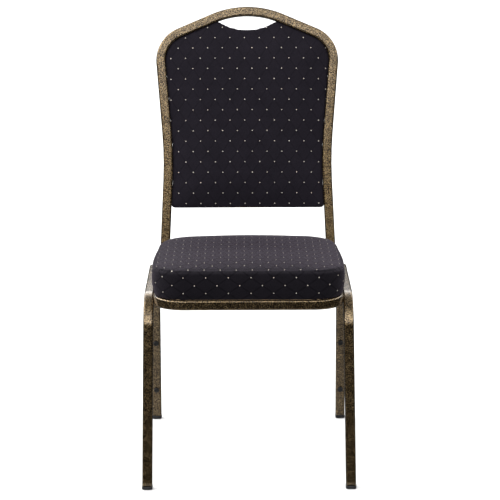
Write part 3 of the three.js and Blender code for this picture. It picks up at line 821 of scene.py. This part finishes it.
def on_back(points, depth):
    """Row-frame places of (across, up) points on the back, at a depth behind the tube's front."""
    height, front = back_origin()
    count = len(points)
    local = np.stack([points[:, 0], points[:, 1] + height, np.full(count, front + depth)], axis=1)
    return from_back(local)


def back_tube(material):
    centre_line = rounded_line(offset_line(with_mirror(BACK_HALF), HALF_TUBE))
    path = guarded(on_back(centre_line, HALF_TUBE))
    piece = tube("back_tube", path, (0.0, -LEAN_COS, LEAN_SIN), material)
    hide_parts("back_frame")
    joined(piece)


def seat_frame_path():
    low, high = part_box("seat_frame")
    front, reach, level = low.y + HALF_TUBE, high.x - HALF_TUBE, (low.z + high.z) / 2
    front_reach = reach - SEAT_FRAME_TAPER
    corners = [(-reach, high.y, 0), (-front_reach, front, SEAT_FRAME_BEND),
               (front_reach, front, SEAT_FRAME_BEND), (reach, high.y, 0)]
    return guarded([(x, y, level) for x, y in rounded_line(corners)])


def seat_tube(material):
    piece = tube("seat_frame_tube", seat_frame_path(), (0.0, 0.0, 1.0), material)
    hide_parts("seat_frame")
    joined(piece)


def joined(piece):
    """The piece moves with the chair."""
    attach(piece, "root")


# ---- small parts


def cross_tubes(material):
    for name in ("centre", "rear"):
        node = name + "_cross_tube"
        low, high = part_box(node)
        depth, level = (low.y + high.y) / 2, (low.z + high.z) / 2
        path = guarded([(low.x, depth, level), (high.x, depth, level)])
        piece = tube(name + "_stretcher", path, (0.0, 0.0, 1.0), material)
        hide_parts(node)
        joined(piece)


def turned(name, origin, axis, profile, material):
    """A solid of revolution from (radius, height) steps that start and end on the axis."""
    axis = Vector(axis).normalized()
    across = axis.orthogonal().normalized()
    upward = axis.cross(across)
    vertices = []
    for radius, height in profile[1:-1]:
        for index in range(ROUND_SIDES):
            angle = 2 * math.pi * index / ROUND_SIDES
            spoke = across * math.cos(angle) + upward * math.sin(angle)
            vertices.append(origin + axis * height + spoke * radius)
    vertices += [origin + axis * profile[0][1], origin + axis * profile[-1][1]]
    faces = ring_faces(len(profile) - 2, ROUND_SIDES)
    return outward(new_piece(name, vertices, faces, material))


def bumpers(material):
    """Push-in stacking bumpers: a rounded rim round a shallow dimple, square to the rear leg's face."""
    axis = Vector((0.0, -math.cos(REAR_LEAN), -math.sin(REAR_LEAN)))
    for node in names_with("stack_bumper"):
        low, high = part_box(node)
        points = coordinates(nodes[node].data)
        outermost = (points @ np.array(axis)).max()
        middle = (low + high) / 2
        origin = middle + axis * (outermost - middle.dot(axis) - BUMPER_PROUD)
        piece = turned(node.replace("stack_bumper", "rubber_button"), origin, axis, BUMPER_PROFILE, material)
        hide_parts(node)
        joined(piece)


def softened(node, name, width, material):
    """A copy of a small CAD piece with its sharp edges rounded off."""
    mesh = bmesh.new()
    mesh.from_mesh(nodes[node].data)
    bmesh.ops.remove_doubles(mesh, verts=mesh.verts[:], dist=MERGE_GAP)
    bmesh.ops.dissolve_limit(mesh, angle_limit=FLAT_ANGLE, verts=mesh.verts[:], edges=mesh.edges[:])
    data = bpy.data.meshes.new(name)
    mesh.to_mesh(data)
    mesh.free()
    data.materials.clear()
    data.materials.append(material)
    piece = bpy.data.objects.new(name, data)
    bpy.context.scene.collection.objects.link(piece)
    set_smooth(data)
    applied(piece, "BEVEL", width=width, segments=3, limit_method="ANGLE", angle_limit=SHARP_ANGLE,
            harden_normals=True, use_clamp_overlap=True)
    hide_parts(node)
    joined(piece)


def small_parts(plastic, zinc, steel, paint):
    kinds = (
        ("foot_glide", "nylon_foot", 0.9, "glide_plastic", plastic),
        ("upright_plug", "end_plug", 0.7, "glide_plastic", plastic),
        ("back_screw", "back_bolt", 0.35, "zinc_screw", zinc),
        ("seat_screw", "seat_bolt", 0.35, "zinc_screw", zinc),
        ("back_tab", "back_bracket", 0.5, "bare_steel", steel),
        ("seat_tab", "seat_bracket", 0.5, "frame_paint", paint),
    )
    for start, new_start, width, slot, material in kinds:
        for node in names_with(start):
            softened(node, node.replace(start, new_start), width * MM, material)


def weld_bead(name, path, normal, material, closed=False):
    """A rippled bead of weld, painted over with the frame."""
    path = np.array(path)
    spans = np.linalg.norm(np.diff(path, axis=0), axis=1)
    travelled = np.concatenate([[0.0], np.cumsum(spans)])
    circle = np.arange(WELD_SIDES) * 2 * math.pi / WELD_SIDES
    sections = []
    for place in travelled:
        radius = WELD_RADIUS * (1 + WELD_RIPPLE * abs(math.sin(math.pi * place / WELD_PITCH)))
        from_end = min(place, travelled[-1] - place)
        end = 1.0 if closed else min(1.0, (from_end + WELD_TIP) / WELD_RADIUS)
        sections.append(radius * end * np.stack([np.cos(circle), np.sin(circle)], axis=1))
    joined(sweep(name, path, normal, sections, material, closed))


def weld_beads(material):
    ring = even_loop(rounded_square(TUBE + WELD_RADIUS, BEND_STEP), WELD_STEP)
    seat_low, seat_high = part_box("seat_frame")
    level = (seat_low.z + seat_high.z) / 2
    for side, side_name in SIDES:
        for name in ("centre", "rear"):
            low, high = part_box(name + "_cross_tube")
            depth = (low.y + high.y) / 2
            path = [(side * high.x, depth + y, level + z) for y, z in ring]
            weld_bead(f"weld_{name}_{side_name}", path, (1.0, 0.0, 0.0), material, closed=True)
        middle = side * (seat_high.x - HALF_TUBE)
        path = [(middle + x, seat_high.y + WELD_RADIUS / 2, level + z) for x, z in ring]
        weld_bead(f"weld_upright_{side_name}", path, (0.0, 1.0, 0.0), material, closed=True)
        for number, start in enumerate(RAIL_WELD_STARTS, 1):
            stops = np.arange(start, start + RAIL_WELD_LENGTH, WELD_STEP)
            for place, height in (("low", seat_low.z), ("high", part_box("leg_frame_right")[1].z)):
                path = [(side * seat_high.x, y, height) for y in stops]
                weld_bead(f"weld_rail_{place}_{side_name}_{number}", path, (0.0, 0.0, 1.0), material)


def staples(material):
    """Staples round the edge of the dust cover, in one piece."""
    loop, centre = seat_loop()
    low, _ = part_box("seat_dust_cover")
    inset = 1 - STAPLE_INSET / SEAT_FRONT_HALF
    spots = even_loop(centre + (loop - centre) * inset, STAPLE_SPACING)
    vertices, faces = [], []
    for index, spot in enumerate(spots):
        along = unit(spots[(index + 1) % len(spots)] - spots[index - 1])
        across = np.array([-along[1], along[0]])
        base = len(vertices)
        for height in (0.0, -STAPLE_WIRE):
            for end, edge in ((-1, -1), (1, -1), (1, 1), (-1, 1)):
                shrink = 1.0 if height == 0.0 else STAPLE_TAPER
                reach = along * end * STAPLE_LENGTH + across * edge * STAPLE_WIRE
                place = spot + reach / 2 * shrink
                vertices.append((*place, low.z + height))
        faces += [(base, base + 1, base + 2, base + 3), (base + 7, base + 6, base + 5, base + 4)]
        faces += [(base + k, base + 4 + k, base + 4 + (k + 1) % 4, base + (k + 1) % 4) for k in range(4)]
    piece = outward(new_piece("dust_cover_staples", vertices, faces, material, smooth=False))
    joined(piece)


# ---- seat cushion


def seat_loop():
    """The cushion's widest outline, fitted to the CAD cover's box."""
    low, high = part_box("seat_cover")
    widest = low.y + (high.y - low.y) * SEAT_WIDEST_SHARE
    right = [(SEAT_FRONT_HALF, low.y, SEAT_FRONT_RADIUS), (SEAT_MIDDLE_HALF, widest, SEAT_SIDE_RADIUS),
             (SEAT_REAR_HALF, high.y, SEAT_REAR_RADIUS)]
    return even_outline(right), np.array([0.0, (low.y + high.y) / 2])


def seat_cushion(material):
    low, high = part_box("seat_cover")
    loop, centre = seat_loop()
    seam = high.z - SEAT_SEAM_BELOW_TOP
    bottom = low.z + SEAT_BOTTOM_GAP
    rings = [(1 + out / SEAT_FRONT_HALF, bottom + (seam - bottom) * share) for share, out in SEAT_BOXING]
    vertices, faces = stacked(loop, centre, [(0, bottom), *rings, (0, seam)])
    piece = new_piece("seat_upholstery", vertices, faces, material)
    applied(piece, "REMESH", mode="VOXEL", voxel_size=VOXEL)
    points = coordinates(piece.data)
    distance, _, _ = along_loop(points[:, :2], loop)
    on_top = points[:, 2] > seam - SEAT_TOP_DEPTH
    crown = np.where(on_top, SEAT_CROWN * (1 - np.exp(-distance / SEAT_CROWN_REACH)), 0.0)
    crown = relax(piece.data, crown, on_top & (distance > SEAT_CROWN_EDGE), SEAT_EVENING)
    left = 1 - np.clip(distance / SEAT_ROLL, 0, 1)
    roll = SEAT_ROLL_RISE * np.sqrt(1 - left**2)
    points[:, 2] += np.where(on_top, crown + roll, 0.0)
    set_coordinates(piece.data, points)
    near_seam = (np.abs(points[:, 2] - seam) < SEAM_HOLD_HEIGHT) & (distance < SEAM_HOLD_DEPTH)
    inflated(piece, (points[:, 2] < bottom + VOXEL) | near_seam, SEAT_CAP)
    applied(piece, "SUBSURF", levels=1, render_levels=1)
    seat_seam(piece, loop, centre, seam)
    seat_map(piece, loop, seam)
    seat_droop(piece, bottom, seam)
    return piece


def seat_droop(piece, bottom, seam):
    """Lowers the sides of the cushion towards the rear. Its foot stays flat on the board."""
    low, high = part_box("seat_cover")
    points = coordinates(piece.data)
    backward = np.clip((points[:, 1] - low.y) / (high.y - low.y), 0, 1)
    upward = np.clip((points[:, 2] - bottom) / (seam - bottom), 0, 1)
    share = SEAT_FRONT_DROOP + (1 - SEAT_FRONT_DROOP) * backward
    points[:, 2] -= SEAT_DROOP * (points[:, 0] / SEAT_REAR_HALF) ** 2 * share * upward
    set_coordinates(piece.data, points)


def seat_seam(piece, loop, centre, seam):
    """Pulls the cloth in along the seam between the top panel and the boxing, with small puckers."""
    mesh = piece.data
    points = coordinates(mesh)
    distance, place, _ = along_loop(points[:, :2], loop)
    above = points[:, 2] - seam - SEAM_LIFT
    edge = np.exp(-((above / SEAM_WIDTH) ** 2)) * (distance < SEAM_REACH)
    pucker = 1.0
    for share, spacing, phase in SEAM_PUCKERS:
        pucker = pucker + share * np.sin(place * 2 * math.pi / spacing + phase)
    inward = centre - points[:, :2]
    inward /= np.maximum(np.linalg.norm(inward, axis=1, keepdims=True), TINY)
    points[:, :2] += inward * (SEAM_DEPTH * edge * pucker)[:, None]
    points[:, 2] -= SEAM_SINK * SEAM_DEPTH * edge
    set_coordinates(mesh, points)


def seat_map(piece, loop, seam):
    """The top panel's pattern runs front to back. The boxing's is turned and runs round the seat."""
    mesh = piece.data
    points = coordinates(mesh)
    centres = gathered(mesh.polygons, "center", 3)
    normals = gathered(mesh.polygons, "normal", 3)
    _, place, whole = along_loop(points[:, :2], loop)
    front = loop[np.argmin(loop[:, 1] + np.abs(loop[:, 0]) * 1e-3)]
    _, at_front, _ = along_loop(np.array([[0.0, front[1]]]), loop)
    place = (place - at_front[0] + whole / 2) % whole - whole / 2
    boxing = (centres[:, 2] < seam) & (normals[:, 2] > BOXING_TILT)
    low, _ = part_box("seat_cover")
    top_phase = np.array([TOP_PHASE[0], low.y + TOP_PHASE[1]])
    boxing_phase = np.array([low.z + BOXING_PHASE[0], BOXING_PHASE[1]])

    def uv(corners, owner, starts, sizes):
        flat = points[corners, :2] - top_phase
        around = place[corners]
        highest = np.maximum.reduceat(around, starts)
        around = np.where((highest[owner] - around) > whole / 2, around + whole, around)
        turned = np.stack([points[corners, 2], around], axis=1) - boxing_phase
        return np.where(boxing[owner][:, None], turned, flat)

    set_cloth_map(piece, uv)


# ---- back panel


def to_back(points):
    """Row frame to the back's own axes: across, up its plane, and depth behind its front."""
    across, depth, height = points.T
    up = depth * LEAN_SIN + height * LEAN_COS
    behind = depth * LEAN_COS - height * LEAN_SIN
    return np.stack([across, up, behind], axis=1)


def from_back(points):
    across, up, depth = points.T
    return np.stack([across, depth * LEAN_COS + up * LEAN_SIN, up * LEAN_COS - depth * LEAN_SIN], axis=1)


def pad_loop():
    """Outline of the back panel: it fills the frame, with a straight foot and a scoop at the top."""
    line = offset_line(with_mirror(BACK_HALF), TUBE + PAD_GAP)
    kink, waist, shoulder = line[1], line[2], line[3]
    share = (PAD_BOTTOM - kink[1]) / (waist[1] - kink[1])
    foot = (kink[0] + (waist[0] - kink[0]) * share, PAD_BOTTOM, PAD_BOTTOM_RADIUS)
    return even_outline([foot, waist, shoulder, PAD_SCOOP, PAD_DIP])


def back_pad(name, rim, edge, crown, cap, material):
    """A crowned panel between its rim plane and its face, which bulges away from the rim."""
    loop = pad_loop()
    side = math.copysign(1.0, edge - rim)
    vertices, faces = stacked(loop, PAD_CENTRE, [
        (0, min(rim, edge)), (1, min(rim, edge)), (1, max(rim, edge)), (0, max(rim, edge)),
    ])
    piece = new_piece(name, vertices, faces, material)
    applied(piece, "REMESH", mode="VOXEL", voxel_size=VOXEL)
    points = coordinates(piece.data)
    distance, _, _ = along_loop(points[:, :2], loop)
    inner = distance > PAD_RIM
    on_face = (points[:, 2] - edge) * side > -PAD_FACE_DEPTH
    rise = np.where(on_face, crown * (1 - np.exp(-distance / PAD_CROWN_REACH)), 0.0)
    points[:, 2] += side * relax(piece.data, rise, on_face & inner, PAD_EVENING)
    set_coordinates(piece.data, points)
    inflated(piece, ~on_face | ~inner, cap)
    applied(piece, "SUBSURF", levels=1, render_levels=1)
    flat = coordinates(piece.data)
    height, front = back_origin()
    set_coordinates(piece.data, from_back(flat + (0.0, height, front)))
    outward(piece)

    def uv(corners, owner, starts, sizes):
        return flat[corners, :2] - np.array(PAD_PHASE)

    set_cloth_map(piece, uv)
    return piece


def back_pads(material):
    front = back_pad("back_upholstery_front", BOARD_BACK, PAD_EDGE, PAD_CROWN, FRONT_CAP, material)
    rear = back_pad("back_upholstery_rear", REAR_RIM, REAR_EDGE, REAR_CROWN, REAR_CAP, material)
    return front, rear


# ---- finishes on the CAD pieces


def dress(material, names):
    """Gives CAD pieces a finish through their own material slots."""
    for name in names:
        for slot in nodes[name].material_slots:
            slot.material = material


def names_with(*starts):
    return [name for name in sorted(nodes) if name.startswith(starts)]


# ---- stage, light and camera


def floor_material():
    graph = Finish("studio_floor")
    tone = graph.noise(graph.place(), 3, 2)
    return graph.finish(graph.ramp(tone, [(0.3, (0.83, 0.83, 0.83)), (0.7, (0.87, 0.87, 0.87))]), 0.9)


def add_floor():
    signs = ((-1, -1), (1, -1), (1, 1), (-1, 1))
    corners = [(x * FLOOR_REACH, y * FLOOR_REACH, 0) for x, y in signs]
    floor = new_piece("studio_floor", corners, [(0, 1, 2, 3)], floor_material(), smooth=False)
    floor.visible_diffuse = False
    floor.visible_glossy = False


def add_sun():
    """One soft light from far away."""
    light = bpy.data.lights.new("from_the_left", "SUN")
    light.energy = SUN_STRENGTH
    light.angle = SUN_WIDTH
    lamp = bpy.data.objects.new("from_the_left", light)
    bpy.context.scene.collection.objects.link(lamp)
    lamp.rotation_euler = (math.pi / 2 - SUN_HEIGHT, 0, SUN_BEARING)


def add_sky():
    """A bright band above a dark horizon, dimmer overhead, and plain white where the camera sees past it."""
    world = bpy.data.worlds.new("studio")
    world.use_nodes = True
    graph = Graph(world.node_tree)
    parts = graph.add("ShaderNodeSeparateXYZ", [graph.add("ShaderNodeTexCoord").outputs["Generated"]])
    height = graph.remap(parts.outputs["Z"], -1.0, 1.0, 0.0, 1.0)
    colour = graph.ramp(height, [((stop + 1) / 2, (level, level, level)) for stop, level in SKY])
    ends = SKY_STRENGTH * SKY_LEFT, SKY_STRENGTH * SKY_RIGHT
    strength = graph.remap(parts.outputs["X"], -SKY_BLEND, SKY_BLEND, *ends)
    lighting = graph.tree.nodes["Background"]
    graph.link(colour, lighting.inputs["Color"])
    graph.link(strength, lighting.inputs["Strength"])
    seen = graph.add("ShaderNodeBackground", [(1.0, 1.0, 1.0, 1.0)])
    rays = graph.add("ShaderNodeLightPath").outputs["Is Camera Ray"]
    mix = graph.add("ShaderNodeMixShader", [rays, lighting.outputs[0], seen.outputs[0]])
    graph.link(mix.outputs[0], graph.tree.nodes["World Output"].inputs["Surface"])
    bpy.context.scene.world = world


def add_camera():
    camera = bpy.data.objects.new("camera", bpy.data.cameras.new("camera"))
    bpy.context.scene.collection.objects.link(camera)
    camera.data.lens = LENS
    camera.data.sensor_width = SENSOR
    camera.location = (
        CAMERA_DISTANCE * math.sin(CAMERA_SWING),
        -CAMERA_DISTANCE * math.cos(CAMERA_SWING),
        CAMERA_HEIGHT,
    )
    facing = Matrix.Rotation(CAMERA_SWING + CAMERA_TURN, 3, "Z")
    tilted = facing @ Matrix.Rotation(math.pi / 2 - CAMERA_PITCH, 3, "X")
    camera.rotation_euler = (tilted @ Matrix.Rotation(CAMERA_ROLL, 3, "Z")).to_euler()
    bpy.context.scene.camera = camera
    bpy.context.scene.view_settings.view_transform = "Standard"


# ---- the chair


def dress_nodes():
    """Every CAD piece gets a finish, also where a finer piece stands for it."""
    finishes = {
        "paint": bronze_powder_coat(),
        "plastic": moulded_black("glide_plastic", (0.008, 0.008, 0.009), (0.03, 0.03, 0.032), 0.4, 900),
        "rubber": moulded_black("bumper_rubber", (0.006, 0.006, 0.006), (0.022, 0.022, 0.022), 0.55, 1300),
        "steel": brushed_metal("bare_steel", (0.28, 0.28, 0.29), (0.5, 0.5, 0.51), (1.0, 12.0, 12.0)),
        "zinc": brushed_metal("zinc_plate", (0.42, 0.42, 0.4), (0.68, 0.68, 0.66), (1.0, 1.0, 9.0)),
        # seat and back are one cloth: the seat's copy is darkened as painted shade, the back's copy
        # brightened as painted light
        "cloth": dotted_cloth("seat_cloth_painted_shade", SEAT_FIGURE, SEAT_CLOTH_PAINTED_SHADE),
        "back_cloth_painted_light": dotted_cloth("back_cloth_painted_light", BACK_FIGURE, BACK_CLOTH_PAINTED_LIGHT),
    }
    painted = ("leg_frame", "back_frame", "seat_frame", "centre_cross", "rear_cross", "seat_tab")
    dress(finishes["paint"], names_with(*painted))
    dress(finishes["plastic"], names_with("foot_glide", "upright_plug"))
    dress(finishes["rubber"], names_with("stack_bumper"))
    dress(finishes["steel"], names_with("back_tab"))
    dress(finishes["zinc"], names_with("seat_screw", "back_screw"))
    dress(finishes["cloth"], names_with("seat_cover", "back_cover"))
    dress(plywood(), ["seat_board", "back_board"])
    dress(open_foam(), names_with("seat_foam", "back_foam"))
    dress(spunbond(), ["seat_dust_cover"])
    return finishes


def upholstery(cloth, back_cloth_painted_light):
    seat = seat_cushion(cloth)
    front, rear = back_pads(back_cloth_painted_light)
    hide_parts("seat_cover", "seat_foam")
    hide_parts("back_cover_front", "back_foam_front")
    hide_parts("back_cover_rear", "back_foam_rear")
    for piece, fill in ((seat, SEAT_FILL), (front, FRONT_FILL), (rear, REAR_FILL)):
        joined(piece)


def build():
    add_camera()
    finishes = dress_nodes()
    paint = finishes["paint"]
    leg_frames(paint)
    back_tube(paint)
    seat_tube(paint)
    cross_tubes(paint)
    weld_beads(paint)
    bumpers(finishes["rubber"])
    small_parts(finishes["plastic"], finishes["zinc"], finishes["steel"], paint)
    staples(finishes["zinc"])
    upholstery(finishes["cloth"], finishes["back_cloth_painted_light"])
    add_floor()
    add_sky()
    add_sun()


build()
